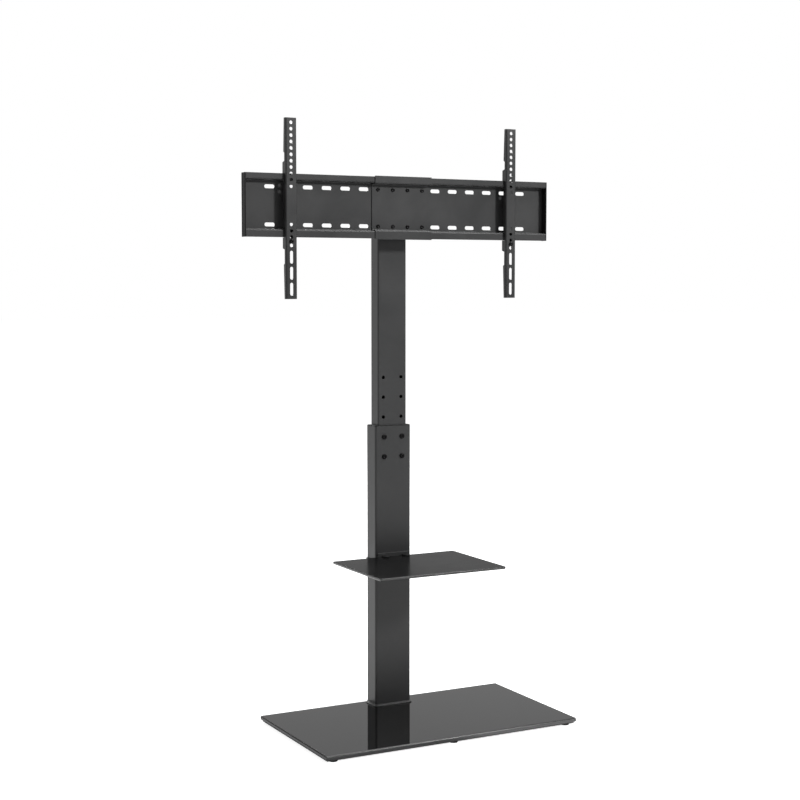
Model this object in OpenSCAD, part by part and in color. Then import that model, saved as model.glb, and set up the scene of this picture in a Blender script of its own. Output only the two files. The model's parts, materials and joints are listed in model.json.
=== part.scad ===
// Floor stand for a flat screen: a glass base, a telescopic column, a glass
// shelf and a swivelling mount plate that carries two hooked rails.
// The origin is on the floor under the middle of the base. X runs to the right,
// Y runs to the back and Z runs up.

/* [Base] */
// Width of the glass base
base_w = 685; // [560:5:900]
// Depth of the glass base, front to back
base_d = 385; // [320:5:520]
// Thickness of the glass base
base_t = 10; // [8:1:15]
// Corner radius of the glass base in plan
base_corner_r = 2; // [2:1:30]
// Thickness of the steel plate under the glass
under_t = 3; // [2:0.5:6]
// Distance that the steel plate stays in from the edge of the glass
under_inset = 4; // [2:1:30]
// Height of a rubber foot
foot_h = 4; // [3.5:0.5:15]
// Diameter of a rubber foot
foot_d = 22; // [16:1:40]
// Distance from the front and back edges of the steel plate to the feet
foot_front_gap = 0.5; // [0.5:0.5:30]
// Distance from the side edges of the steel plate to the feet
foot_side_gap = 9.5; // [0.5:0.5:60]

/* [Column] */
// Width of the outer tube
column_w = 100; // [90:1:140]
// Depth of the outer tube
column_d = 50; // [46:1:80]
// Wall of the outer tube
column_wall = 2.5; // [1.5:0.5:4]
// Outer corner radius of the outer tube
column_r = 5; // [4:0.5:8]
// Height of the outer tube's top above the glass base
column_top_h = 715; // [600:5:900]
// Distance between the holes for the height bolts, across and up
hole_pitch = 50; // [40:1:56]
// Distance from the top of the outer tube down to the first height bolts
bolt_drop = 27; // [24:1:60]
// Margin of the foot flange around the outer tube
flange_margin = 4; // [3:1:20]
// Thickness of the foot flange
flange_t = 3; // [2:0.5:8]
// Distance from the back edge of the glass to the foot flange
flange_back_gap = 6; // [1:1:30]

/* [Mast] */
// Plastic liner between the two tubes at the sides
liner_side = 7.5; // [4:0.5:10]
// Plastic liner between the two tubes at the front and back
liner_front = 2.5; // [2:0.5:4]
// Wall of the inner tube
mast_wall = 2; // [1.5:0.5:3]
// Height of the inner tube's lower end above the glass base
mast_foot_h = 500; // [300:5:520]
// Number of rows of free holes above the outer tube
free_rows = 3; // [1:1:5]

/* [Mount plate] */
// Height of the middle of the mount plate above the floor
plate_z = 1275.5; // [1150:0.5:1500]
// Length of the mount plate with its end caps
plate_l = 842; // [780:2:1000]
// Thickness of the folded sheet
sheet_t = 2; // [1.5:0.25:3]
// Inner radius of the folds
fold_r = 1.5; // [1:0.25:2.5]
// Height of the folded-out shelf over the middle of the plate
fold_up = 60; // [58:1:80]
// Depth of the folded-out shelf under the middle of the plate
fold_down = 56; // [54:1:80]
// Height of the upper lip from its fold
upper_lip = 15.5; // [12:0.5:24]
// Height of the lower lip from its fold
lower_lip = 19.2; // [14:0.2:28]
// Distance from the front of the plate's face to the front of its lips
lip_reach = 19; // [16:0.5:26]
// Height between the two rows of slots
row_gap = 90; // [84:1:96]
// Distance between neighbouring slots
slot_pitch = 50; // [40:1:52]
// Length of a slot
slot_l = 26.5; // [20:0.5:32]
// Width of a slot
slot_w = 9.3; // [7:0.1:12]
// Width of the sleeve that joins the two side plates
sleeve_w = 157; // [150:1:180]
// Thickness of the wall of an end cap
cap_t = 3; // [2:0.5:6]

/* [Swivel] */
// Distance from the mast to the swivel pin
pivot_out = 18; // [16:0.5:24]
// Distance from the swivel pin to the back of the mount plate
pivot_to_plate = 21; // [18:0.5:30]
// Radius of the swivel pin
pin_r = 6; // [4:0.5:7]
// Radius of the round end of an ear
ear_r = 9.5; // [8.5:0.5:12]
// Thickness of the swivel's steel
swivel_t = 4; // [3:0.5:5]
// Height inside the outer pair of ears
ear_span = 60; // [52:1:64]

/* [Rails] */
// Length of a rail
rail_l = 428; // [400:0.5:600]
// Height of a rail's upper end over the middle of the mount plate
rail_up = 206; // [190:0.5:300]
// Width of a rail
rail_w = 29; // [24:0.5:36]
// Distance of each rail from the middle
rail_x = 306; // [150:1:340]
// Distance from the front of a rail to the front of the plate's lips
rail_front = 9.5; // [8:0.5:14]
// Thickness of the rail's sheet
rail_t = 2; // [1.5:0.25:2.5]
// Depth of a rail at its two ends
rail_end_depth = 10; // [7:0.5:12]
// Depth of a rail in the middle
rail_mid_depth = 13.5; // [12.5:0.5:15]
// Depth of a rail where it hooks the plate
rail_hook_depth = 19; // [16:0.5:24]
// Depth of a rail at its notches
rail_notch_depth = 8.5; // [6:0.5:9]
// Diameter of the round holes for the screen's bolts
rail_hole_d = 8.5; // [5:0.5:10]
// Distance between the round holes
rail_hole_pitch = 15; // [12:0.25:16]
// Number of round holes above the plate
rail_holes = 10; // [4:1:10]
// Length of a long slot in a rail
rail_slot_l = 30.5; // [20:0.5:34]
// Distance between the long slots in a rail
rail_slot_pitch = 38; // [36:0.5:44]
// Number of long slots in a rail
rail_slots = 3; // [1:1:3]

/* [Shelf] */
// Width of the glass shelf
shelf_w = 345; // [280:5:500]
// Depth of the glass shelf
shelf_d = 262; // [230:2:340]
// Thickness of the glass shelf
shelf_t = 6; // [5:1:10]
// Corner radius of the glass shelf in plan
shelf_corner_r = 4; // [2:1:40]
// Height of the shelf's top above the floor
shelf_z = 401; // [260:1:520]
// Thickness of the steel of the shelf's clamp
clamp_t = 3; // [2:0.5:5]
// Height of the clamp around the column
clamp_h = 40; // [34:1:60]
// Width of an ear of the clamp beside the column
clamp_ear = 14; // [13:0.5:24]
// Length of a prong under the shelf
prong_l = 190; // [120:5:225]
// Width of a prong
prong_w = 25; // [22:1:36]
// Distance of each prong from the middle
prong_x = 28; // [20:1:48]

/* [Hidden] */
$fn = 48;

// Overrun of every cut past the faces that it goes through
over = 1;
// Gap between two pieces that slide or turn past each other
slide_gap = 0.3;
// Radial clearance of the pin in the ears that turn on it
pin_gap = 0.06;
// Radial clearance of a screw in its thread, and in a plain hole
thread_gap = 0.05;
hole_gap = 0.4;

// Screws: shank radius, head radius and head height of the large and the small size
screw_r = 4;
screw_head_r = 6.5;
screw_head_h = 4;
small_r = 2.5;
small_head_r = 5;
nut_h = 5;
nut_r = 5.8;
hex_sides = 6;

// Heights of the base
under_z = foot_h;
glass_z = under_z + under_t;
deck_z = glass_z + base_t;
rim_r = 0.8;

// Places of the tubes
column_y = base_d / 2 - flange_back_gap - flange_margin - column_d / 2;
column_z = deck_z + flange_t;
column_top = deck_z + column_top_h;
mast_w = column_w - 2 * (column_wall + liner_side);
mast_d = column_d - 2 * (column_wall + liner_front);
mast_r = 4;
mast_z = deck_z + mast_foot_h;
mast_cap_drop = 10;
mast_top = plate_z + fold_up - mast_cap_drop;
inner_w = column_w - 2 * column_wall;
inner_d = column_d - 2 * column_wall;
inner_r = column_r - column_wall;

// How far the outer feet stand from the middle of the base
foot_x = base_w / 2 - under_inset - foot_side_gap - foot_d / 2;
foot_y = base_d / 2 - under_inset - foot_front_gap - foot_d / 2;

// The block inside the foot of the column, and its four screws
tenon_h = 25;
tenon_gap = 0.2;
foot_screw_x = 30;
foot_screw_y = 12;
foot_screw_head_h = 2.2;
foot_screw_bite = 18;
glass_hole_gap = 2;

// The collar at the top of the column and its skirt inside the column
collar_h = 2;
collar_lip = 0.6;
skirt_tail = 16;
skirt_l = bolt_drop + hole_pitch + skirt_tail;
bolt_rows = [0, 1];
bolt_row_z = column_top - bolt_drop;
mast_hole_r = 4.5;
mast_hole_rows = free_rows + 3;

// The glide at the foot of the mast and the cap at its top
glide_h = 30;
glide_plug_h = 20;
cap_plate_h = 4;
cap_plug_h = 16;
plug_gap = 0.2;

// Faces of the mount plate, from the mast forward
mast_face_y = column_y - mast_d / 2;
pivot_y = mast_face_y - pivot_out;
plate_back_y = pivot_y - pivot_to_plate;
face_y = plate_back_y - sheet_t;
lip_y = face_y - lip_reach;
rail_y = lip_y - rail_front;
side_l = plate_l / 2 - cap_t;
middle_gap = 1;
first_slot = 2;
last_slot = 7;

// Bolts that hold the side plates in the sleeve
plate_bolt_xs = [20.5, 61.5];
plate_bolt_r = 3;
plate_bolt_head_r = 4.8;
plate_bolt_head_h = 2.5;

// The two halves of the swivel
bracket_w = 68;
bracket_margin = 10;
bracket_bolt_x = 25;
bracket_bolt_z = 20;
bracket_bolt_r = 3;
bracket_bolt_head_r = 5.5;
washer_t = 1;
washer_rim = 0.5;
washer_r = ear_r - washer_rim;
yoke_w = 96;
yoke_margin = 12;
yoke_h = row_gap + 2 * yoke_margin;
pin_head_h = 4;
pin_head_r = 9;

// The hooks of a rail: clearance to the lip, depth of the hook and slopes of the outline
lip_gap = 0.4;
hook_l = 12;
hook_ear = 26;
upper_notch_l = 19;
lower_notch_l = 33;
notch_slope = 3;
web_gap = 3;
seat_gap = 0.3;
rail_fold_r = 1.5;
rail_edge = 11;
hole_web = 2;
lock_drop = 9.9;
lock_hole_up = 10.1;
lock_hole_down = 9.5;
rail_slot_edge = 23.5;
lock_head_r = 5.2;
lock_head_h = 4.5;
lock_plate_t = 3;
lock_plate_up = 18;
lock_plate_down = 4.5;
lock_side_gap = 1.6;
lock_boss_r = 4.5;
lock_boss_gap = 1.5;
lock_tail = 3;

// The clamp of the shelf
clamp_gap = 0.3;
clamp_front_y = column_y - column_d / 2 - clamp_gap;
clamp_upstand = 9;
shelf_back_gap = 0.7;
pad_t = 1.5;
pad_margin = 2.5;
prong_root_h = 34;
prong_tip_h = 7;
shelf_screw_in = 10.5;
shelf_cap_r = 9;
shelf_cap_h = 4;
clamp_bolt_r = 3;
clamp_bolt_head_r = 5;
clamp_bolt_head_h = 3.5;
clamp_bolt_share = 0.25;
clamp_nut_r = 5;
clamp_nut_h = 4;

steel_colour = [0.17, 0.17, 0.18];
glass_colour = [0.08, 0.08, 0.09];
plastic_colour = [0.05, 0.05, 0.05];
screw_colour = [0.12, 0.12, 0.12];

// Points of an arc about a centre, from one angle to another
function arc(c, r, a, b, n = 6) = [
    for (i = [0 : n]) let (t = a + (b - a) * i / n) c + r * [cos(t), sin(t)]
];
function backwards(list) = [for (i = [len(list) - 1 : -1 : 0]) list[i]];
function flipped(list) = [for (p = list) [p[0], -p[1]]];

// Rectangle with true round corners, about its middle
module round_rect(w, d, r) {
    square([w - 2 * r, d], center = true);
    square([w, d - 2 * r], center = true);
    for (x = [-1, 1], y = [-1, 1]) translate([x * (w / 2 - r), y * (d / 2 - r)]) circle(r);
}

// Tube with round corners
module tube(w, d, r, wall, h) {
    linear_extrude(h) difference() {
        round_rect(w, d, r);
        round_rect(w - 2 * wall, d - 2 * wall, r - wall);
    }
}

// Round bar along Y that starts at the origin and goes to the back
module bar_y(r, l) {
    rotate([-90, 0, 0]) cylinder(r = r, h = l);
}

// Cutter for a round hole along Y through a wall that starts at the origin
module drill_y(r, wall) {
    translate([0, -over, 0]) bar_y(r, wall + 2 * over);
}

// Hexagonal nut along Y that starts at the origin and goes to the back
module nut_y(r, h) {
    rotate([-90, 0, 0]) cylinder(r = r, h = h, $fn = hex_sides);
}

// Cutter for a slot along X with round ends, cut along Y about the origin
module slot_x(l, w, depth) {
    translate([0, -depth / 2, 0]) rotate([-90, 0, 0]) linear_extrude(depth) {
        square([l - w, w], center = true);
        for (x = [-1, 1]) translate([x * (l - w) / 2, 0]) circle(w / 2);
    }
}

// Everything that is measured from the middle of the tubes
module at_column(z = 0) {
    translate([0, column_y, z]) children();
}

module base_glass() {
    color(glass_colour) difference() {
        union() {
            translate([0, 0, glass_z]) linear_extrude(base_t - rim_r)
                round_rect(base_w, base_d, base_corner_r);
            translate([0, 0, deck_z - rim_r]) linear_extrude(rim_r)
                round_rect(base_w - 2 * rim_r, base_d - 2 * rim_r, base_corner_r - rim_r);
        }
        foot_screw_places() translate([0, 0, glass_z - over])
            cylinder(r = screw_r + glass_hole_gap, h = base_t + 2 * over);
    }
}

// The four places of the screws that hold the column on the base
module foot_screw_places() {
    for (x = [-1, 1], y = [-1, 1])
        at_column() translate([x * foot_screw_x, y * foot_screw_y, 0]) children();
}

module base_plate() {
    color(steel_colour) difference() {
        translate([0, 0, under_z]) linear_extrude(under_t)
            round_rect(base_w - 2 * under_inset, base_d - 2 * under_inset, base_corner_r);
        foot_screw_places() translate([0, 0, under_z - over])
            cylinder(r = screw_r + hole_gap, h = under_t + 2 * over);
    }
}

module rubber_feet() {
    color(plastic_colour)
        for (x = [-1 : 1], y = [-1, 1])
            translate([x * foot_x, y * foot_y, 0]) cylinder(r = foot_d / 2, h = foot_h);
}

module foot_flange() {
    edge = 2 * flange_margin;
    color(steel_colour) difference() {
        at_column(deck_z) {
            linear_extrude(flange_t)
                round_rect(column_w + edge, column_d + edge, column_r + flange_margin / 2);
            linear_extrude(flange_t + tenon_h)
                round_rect(inner_w - 2 * tenon_gap, inner_d - 2 * tenon_gap, inner_r);
        }
        foot_screw_places() translate([0, 0, deck_z - over])
            cylinder(r = screw_r + thread_gap, h = foot_screw_bite + 2 * over);
    }
}

module foot_screws() {
    color(screw_colour) foot_screw_places() {
        translate([0, 0, under_z - foot_screw_head_h]) cylinder(r = screw_head_r, h = foot_screw_head_h);
        translate([0, 0, under_z - foot_screw_head_h])
            cylinder(r = screw_r, h = foot_screw_head_h + under_t + base_t + foot_screw_bite);
    }
}

// The places of the four height bolts on the front of the outer tube
module height_bolt_places() {
    for (x = [-1, 1], row = bolt_rows)
        at_column(bolt_row_z - row * hole_pitch)
            translate([x * hole_pitch / 2, -column_d / 2, 0]) children();
}

module lower_column() {
    color(steel_colour) difference() {
        at_column(column_z) tube(column_w, column_d, column_r, column_wall, column_top - column_z);
        height_bolt_places() drill_y(screw_r + hole_gap, column_wall);
    }
}

module column_collar() {
    color(plastic_colour) difference() {
        union() {
            at_column(column_top) linear_extrude(collar_h)
                round_rect(column_w - 2 * collar_lip, column_d - 2 * collar_lip, column_r - collar_lip);
            at_column(column_top - skirt_l) linear_extrude(skirt_l + collar_h)
                round_rect(inner_w - 2 * tenon_gap, inner_d - 2 * tenon_gap, inner_r);
        }
        at_column(column_top - skirt_l - over) linear_extrude(skirt_l + collar_h + 2 * over)
            round_rect(mast_w + 2 * slide_gap, mast_d + 2 * slide_gap, mast_r + slide_gap);
        height_bolt_places() translate([0, -over, 0])
            bar_y(screw_r + thread_gap, column_wall + liner_front + over);
    }
}

module height_bolts() {
    color(screw_colour) height_bolt_places() {
        translate([0, -screw_head_h, 0]) bar_y(screw_head_r, screw_head_h);
        bar_y(screw_r, column_wall + liner_front - slide_gap);
    }
}

module mast_tube() {
    color(steel_colour) difference() {
        at_column(mast_z) tube(mast_w, mast_d, mast_r, mast_wall, mast_top - mast_z);
        for (x = [-1, 1], row = [0 : mast_hole_rows])
            at_column(bolt_row_z + (free_rows - row) * hole_pitch)
                translate([x * hole_pitch / 2, -mast_d / 2, 0]) drill_y(mast_hole_r, mast_wall);
        bracket_bolt_places() bar_y(bracket_bolt_r + hole_gap, mast_wall + over);
    }
}

// Plug inside an end of the mast
module mast_plug(h) {
    shell = 2 * (mast_wall + plug_gap);
    linear_extrude(h) round_rect(mast_w - shell, mast_d - shell, mast_r - mast_wall);
}

module mast_glide() {
    color(plastic_colour) at_column(mast_z) {
        translate([0, 0, -glide_h]) linear_extrude(glide_h)
            round_rect(inner_w - 2 * slide_gap, inner_d - 2 * slide_gap, inner_r);
        mast_plug(glide_plug_h);
    }
}

module mast_cap() {
    color(plastic_colour) at_column(mast_top) {
        linear_extrude(cap_plate_h) round_rect(mast_w, mast_d, mast_r);
        translate([0, 0, -cap_plug_h]) mast_plug(cap_plug_h);
    }
}

// The four bolts between the bracket and the mast, from the front face of the mast
module bracket_bolt_places() {
    for (x = [-1, 1], z = [-1, 1])
        translate([x * bracket_bolt_x, mast_face_y, plate_z + z * bracket_bolt_z]) children();
}

// One ear of the swivel: it runs along Y from its root to the pin
module ear(root_y, z, t, hole_r) {
    translate([0, pivot_y, z]) linear_extrude(t) difference() {
        union() {
            circle(ear_r);
            translate([-ear_r, min(0, root_y - pivot_y)]) square([2 * ear_r, abs(root_y - pivot_y)]);
        }
        circle(hole_r);
    }
}

module swivel_bracket() {
    front = mast_face_y - swivel_t;
    h = ear_span + 2 * (swivel_t + bracket_margin);
    color(steel_colour) difference() {
        union() {
            translate([-bracket_w / 2, front, plate_z - h / 2]) cube([bracket_w, swivel_t, h]);
            ear(front + swivel_t / 2, plate_z + ear_span / 2, swivel_t, pin_r + pin_gap);
            ear(front + swivel_t / 2, plate_z - ear_span / 2 - swivel_t, swivel_t, pin_r + pin_gap);
        }
        bracket_bolt_places() translate([0, -swivel_t, 0]) drill_y(bracket_bolt_r + hole_gap, swivel_t);
    }
}

module bracket_bolts() {
    color(screw_colour) bracket_bolt_places() {
        translate([0, -swivel_t - screw_head_h, 0]) bar_y(bracket_bolt_head_r, screw_head_h);
        translate([0, -swivel_t, 0]) bar_y(bracket_bolt_r, swivel_t + mast_wall + nut_h + over);
    }
}

module bracket_nuts() {
    color(screw_colour) bracket_bolt_places() difference() {
        translate([0, mast_wall, 0]) nut_y(bracket_bolt_head_r, nut_h);
        bar_y(bracket_bolt_r + thread_gap, mast_wall + nut_h + over);
    }
}

module swivel_pin() {
    l = ear_span + 2 * swivel_t;
    color(screw_colour) translate([0, pivot_y, plate_z - l / 2]) {
        cylinder(r = pin_r, h = l);
        translate([0, 0, l]) cylinder(r = pin_head_r, h = pin_head_h);
        translate([0, 0, -pin_head_h]) cylinder(r = pin_head_r, h = pin_head_h);
    }
}

module swivel_washers() {
    for (z = [-1, 1]) color(plastic_colour)
        translate([0, pivot_y, plate_z + z * (ear_span - washer_t) / 2 - washer_t / 2])
            linear_extrude(washer_t) difference() {
                circle(washer_r);
                circle(pin_r + pin_gap);
            }
}

module swivel_yoke() {
    back = plate_back_y + swivel_t;
    ear_z = ear_span / 2 - washer_t - slide_gap;
    color(steel_colour) difference() {
        union() {
            translate([-yoke_w / 2, plate_back_y, plate_z - yoke_h / 2]) cube([yoke_w, swivel_t, yoke_h]);
            ear(back - swivel_t / 2, plate_z + ear_z - swivel_t, swivel_t, pin_r + pin_gap);
            ear(back - swivel_t / 2, plate_z - ear_z, swivel_t, pin_r + pin_gap);
        }
        plate_bolt_places([plate_bolt_xs[0]]) drill_y(plate_bolt_r + hole_gap, swivel_t + 2 * sheet_t);
    }
}

// Outline of one fold of the sheet: from the face, over the folded-out shelf, round the lip and back
function fold(shelf, lip, reach, t, r) = concat(
    arc([r, shelf - r], r, 180, 90),
    arc([reach - t - r, shelf + t + r], r + t, 270, 360),
    [[reach, shelf + lip], [reach - t, shelf + lip]],
    arc([reach - t - r, shelf + t + r], r, 360, 270),
    arc([r, shelf - r], r + t, 90, 180)
);

// Folded sheet along X, with the front of its face at the given depth
module folded_sheet(from_x, to_x, front_y, up, down, lip_up, lip_down) {
    translate([from_x, front_y, plate_z]) rotate([90, 0, 90]) mirror([1, 0]) linear_extrude(to_x - from_x)
        polygon(concat(
            fold(up, lip_up, lip_reach, sheet_t, fold_r),
            backwards(flipped(fold(down, lip_down, lip_reach, sheet_t, fold_r)))
        ));
}

// Places of the bolts through the sleeve, from the front of its face
module plate_bolt_places(xs) {
    for (side = [-1, 1], x = xs, z = [-1, 1])
        translate([side * x, face_y - sheet_t, plate_z + z * row_gap / 2]) children();
}

module plate_slots(side) {
    for (i = [first_slot : last_slot], z = [-1, 1])
        translate([side * i * slot_pitch, face_y, plate_z + z * row_gap / 2])
            slot_x(slot_l, slot_w, 4 * sheet_t);
}

module side_plate(side) {
    start = side > 0 ? middle_gap : -side_l;
    end = side > 0 ? side_l : -middle_gap;
    color(steel_colour) difference() {
        folded_sheet(start, end, face_y, fold_up, fold_down, upper_lip, lower_lip);
        plate_slots(side);
        plate_bolt_places(plate_bolt_xs) bar_y(plate_bolt_r + hole_gap, 2 * sheet_t + over);
    }
}

module left_plate() {
    side_plate(-1);
}

module right_plate() {
    side_plate(1);
}

module centre_plate() {
    color(steel_colour) difference() {
        folded_sheet(-sleeve_w / 2, sleeve_w / 2, face_y - sheet_t, fold_up - sheet_t, fold_down - sheet_t,
            upper_lip + 2 * sheet_t, lower_lip + 2 * sheet_t);
        plate_bolt_places(plate_bolt_xs) drill_y(plate_bolt_r + hole_gap, sheet_t);
    }
}

// End cap: a closed wall over the end of the plate and a tab behind each lip
module end_cap(side) {
    top = fold_up + upper_lip;
    bottom = fold_down + lower_lip;
    tab_l = 10;
    tab_gap = 0.2;
    color(plastic_colour) translate([side * side_l, 0, plate_z]) mirror([side < 0 ? 1 : 0, 0, 0]) {
        translate([0, lip_y, -bottom]) cube([cap_t, lip_reach + sheet_t, top + bottom]);
        translate([-tab_l, lip_y + sheet_t + tab_gap, fold_up + sheet_t + fold_r])
            cube([tab_l, lip_reach / 2, upper_lip - 2 * sheet_t - fold_r]);
        translate([-tab_l, lip_y + sheet_t + tab_gap, -bottom + sheet_t])
            cube([tab_l, lip_reach / 2, lower_lip - 2 * sheet_t - fold_r]);
    }
}

module left_end_cap() {
    end_cap(-1);
}

module right_end_cap() {
    end_cap(1);
}

// Depth of what a bolt of the plate goes through: the swivel backs only the inner ones
function bolt_stack(x) = 2 * sheet_t + (x < yoke_w / 2 ? swivel_t : 0);

module plate_bolts() {
    color(screw_colour) for (x = plate_bolt_xs) plate_bolt_places([x]) {
        translate([0, -plate_bolt_head_h, 0]) bar_y(plate_bolt_head_r, plate_bolt_head_h);
        bar_y(plate_bolt_r, bolt_stack(x) + nut_h + over);
    }
}

module plate_nuts() {
    color(screw_colour) for (x = plate_bolt_xs) plate_bolt_places([x]) difference() {
        translate([0, bolt_stack(x), 0]) nut_y(nut_r, nut_h);
        bar_y(plate_bolt_r + thread_gap, bolt_stack(x) + nut_h + over);
    }
}

// Side outline of a rail: depth behind its front, height over the middle of the plate
function rail_outline() =
    let (
        top = rail_up,
        bottom = rail_up - rail_l,
        lip_top = fold_up + upper_lip + seat_gap,
        lip_low = -(fold_down + lower_lip + seat_gap),
        ear_top = lip_top + hook_ear,
        ear_low = lip_low - hook_ear,
        front = rail_front - lip_gap,
        back = rail_front + sheet_t + lip_gap,
        tip = lip_top - hook_l
    )
    [
        [0, bottom], [0, top], [rail_end_depth, top],
        [rail_mid_depth, ear_top + upper_notch_l + 2 * notch_slope],
        [rail_notch_depth, ear_top + upper_notch_l + notch_slope],
        [rail_notch_depth, ear_top + notch_slope], [rail_hook_depth, ear_top],
        [rail_hook_depth, tip], [back, tip], [back, lip_top], [front, lip_top],
        [front, fold_up - web_gap], [rail_mid_depth, fold_up - web_gap],
        [rail_mid_depth, web_gap - fold_down], [front, web_gap - fold_down],
        [front, lip_low], [rail_hook_depth, lip_low],
        [rail_hook_depth, ear_low], [rail_notch_depth, ear_low - notch_slope],
        [rail_notch_depth, ear_low - notch_slope - lower_notch_l],
        [rail_mid_depth, ear_low - 2 * notch_slope - lower_notch_l],
        [rail_end_depth, bottom]
    ];

// Section of a rail: a channel with round folds, open at the back
function rail_section() =
    let (r = rail_fold_r, o = rail_fold_r + rail_t, w = rail_w / 2, d = rail_hook_depth + over)
    concat(
        [[-w, d]], arc([o - w, o], o, 180, 270), arc([w - o, o], o, 270, 360), [[w, d], [w - rail_t, d]],
        arc([w - o, o], r, 360, 270), arc([o - w, o], r, 270, 180), [[rail_t - w, d]]
    );

// Heights of the lower edge of the plate and of the lock screw under it
rail_low = -(fold_down + lower_lip);
lock_at = rail_low - lock_drop;

// Heights of the round holes: a row from the top down to the plate, one at each row of the
// plate's slots, and from there on to one on each side of the lock screw
hole_step = rail_hole_d + hole_web;
top_holes = [for (i = [0 : rail_holes - 1]) rail_up - rail_edge - i * rail_hole_pitch];
low_holes = [for (i = [1, 0]) lock_at + lock_hole_up + i * rail_hole_pitch];
rail_hole_zs = concat(
    [for (z = top_holes) if (z > row_gap / 2 + hole_step) z],
    [row_gap / 2, -row_gap / 2],
    [for (z = low_holes) if (z < -row_gap / 2 - hole_step) z],
    [lock_at - lock_hole_down]
);

// Heights of the long slots at the foot of a rail
rail_slot_zs = [for (i = [0 : rail_slots - 1]) rail_up - rail_l + rail_slot_edge + i * rail_slot_pitch];

module rail(side) {
    color(steel_colour) translate([side * rail_x, rail_y, plate_z]) difference() {
        intersection() {
            translate([-rail_w / 2, 0, 0]) rotate([90, 0, 90]) linear_extrude(rail_w)
                polygon(rail_outline());
            translate([0, 0, rail_up - rail_l]) linear_extrude(rail_l) polygon(rail_section());
        }
        for (z = rail_hole_zs) translate([0, 0, z]) drill_y(rail_hole_d / 2, rail_t);
        translate([0, 0, lock_at]) drill_y(small_r + hole_gap, rail_t);
        for (z = rail_slot_zs)
            translate([0, 0, z]) rotate([0, 90, 0]) slot_x(rail_slot_l, rail_hole_d, 4 * rail_t);
    }
}

module left_rail() {
    rail(-1);
}

module right_rail() {
    rail(1);
}

// Place of a lock screw, on the front of its rail
module lock_place(side) {
    translate([side * rail_x, rail_y, plate_z + lock_at]) children();
}

lock_plate_y = rail_front + sheet_t + seat_gap;

module lock_screw(side) {
    color(screw_colour) lock_place(side) {
        translate([0, -lock_head_h, 0]) bar_y(lock_head_r, lock_head_h);
        bar_y(small_r, lock_plate_y + lock_plate_t + lock_tail);
    }
}

// Small clamp that the lock screw draws against the back of the lower lip
module lock_clamp(side) {
    w = rail_w - 2 * rail_t - 2 * lock_side_gap;
    boss_y = rail_t + lock_boss_gap;
    color(steel_colour) lock_place(side) difference() {
        union() {
            translate([-w / 2, lock_plate_y, -lock_plate_down])
                cube([w, lock_plate_t, lock_plate_up + lock_plate_down]);
            translate([0, boss_y, 0]) bar_y(lock_boss_r, lock_plate_y + lock_plate_t / 2 - boss_y);
        }
        bar_y(small_r + thread_gap, lock_plate_y + lock_plate_t + over);
        translate([0, lock_plate_y, lock_hole_up]) drill_y(rail_hole_d / 2, lock_plate_t);
    }
}

module left_lock_screw() {
    lock_screw(-1);
}

module right_lock_screw() {
    lock_screw(1);
}

module left_lock_clamp() {
    lock_clamp(-1);
}

module right_lock_clamp() {
    lock_clamp(1);
}

// Heights and depths of the shelf and its clamp
glass_low = shelf_z - shelf_t;
prong_top = glass_low - pad_t;
shelf_back = clamp_front_y - clamp_t - shelf_back_gap;
clamp_low = prong_top - clamp_h;
clamp_half = column_w / 2 + clamp_gap + clamp_t + clamp_ear;

// The two places where the shelf is screwed to its prongs
module shelf_screw_places(z) {
    for (x = [-1, 1]) translate([x * prong_x, shelf_back - shelf_screw_in, z]) children();
}

module shelf_glass() {
    color(glass_colour) difference() {
        union() {
            translate([0, shelf_back - shelf_d / 2, glass_low]) linear_extrude(shelf_t - rim_r)
                round_rect(shelf_w, shelf_d, shelf_corner_r);
            translate([0, shelf_back - shelf_d / 2, shelf_z - rim_r]) linear_extrude(rim_r)
                round_rect(shelf_w - 2 * rim_r, shelf_d - 2 * rim_r, shelf_corner_r - rim_r);
        }
        shelf_screw_places(glass_low - over) cylinder(r = small_r + hole_gap, h = shelf_t + 2 * over);
    }
}

// The four places of the bolts through the clamp's ears
module clamp_bolt_places() {
    for (x = [-1, 1], share = [clamp_bolt_share, 1 - clamp_bolt_share])
        translate([x * (clamp_half - clamp_ear / 2), clamp_front_y, clamp_low + clamp_h * share])
            children();
}

module shelf_bracket() {
    upstand_w = column_w - 2 * column_r;
    color(steel_colour) difference() {
        union() {
            translate([-clamp_half, clamp_front_y - clamp_t, clamp_low])
                cube([2 * clamp_half, clamp_t, clamp_h]);
            translate([-upstand_w / 2, clamp_front_y - clamp_t, clamp_low])
                cube([upstand_w, clamp_t, clamp_h + pad_t + shelf_t + clamp_upstand]);
            for (x = [-1, 1]) translate([x * prong_x, clamp_front_y - clamp_t, prong_top]) {
                translate([-prong_w / 2, -prong_l, -clamp_t]) cube([prong_w, prong_l, clamp_t]);
                translate([x * (prong_w - clamp_t) / 2 - clamp_t / 2, 0, 0])
                    rotate([90, 0, 90]) linear_extrude(clamp_t)
                        polygon([[0, 0], [-prong_l, 0], [-prong_l, -prong_tip_h], [0, -prong_root_h]]);
            }
        }
        shelf_screw_places(prong_top - clamp_t - over)
            cylinder(r = small_r + hole_gap, h = clamp_t + 2 * over);
        clamp_bolt_places() translate([0, -clamp_t, 0]) drill_y(clamp_bolt_r + hole_gap, clamp_t);
    }
}

module shelf_pads() {
    w = prong_w - 2 * pad_margin;
    color(plastic_colour) difference() {
        for (x = [-1, 1]) translate([x * prong_x - w / 2, clamp_front_y - clamp_t - prong_l, prong_top])
            cube([w, prong_l - pad_margin, pad_t]);
        shelf_screw_places(prong_top - over) cylinder(r = small_r + hole_gap, h = pad_t + 2 * over);
    }
}

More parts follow.
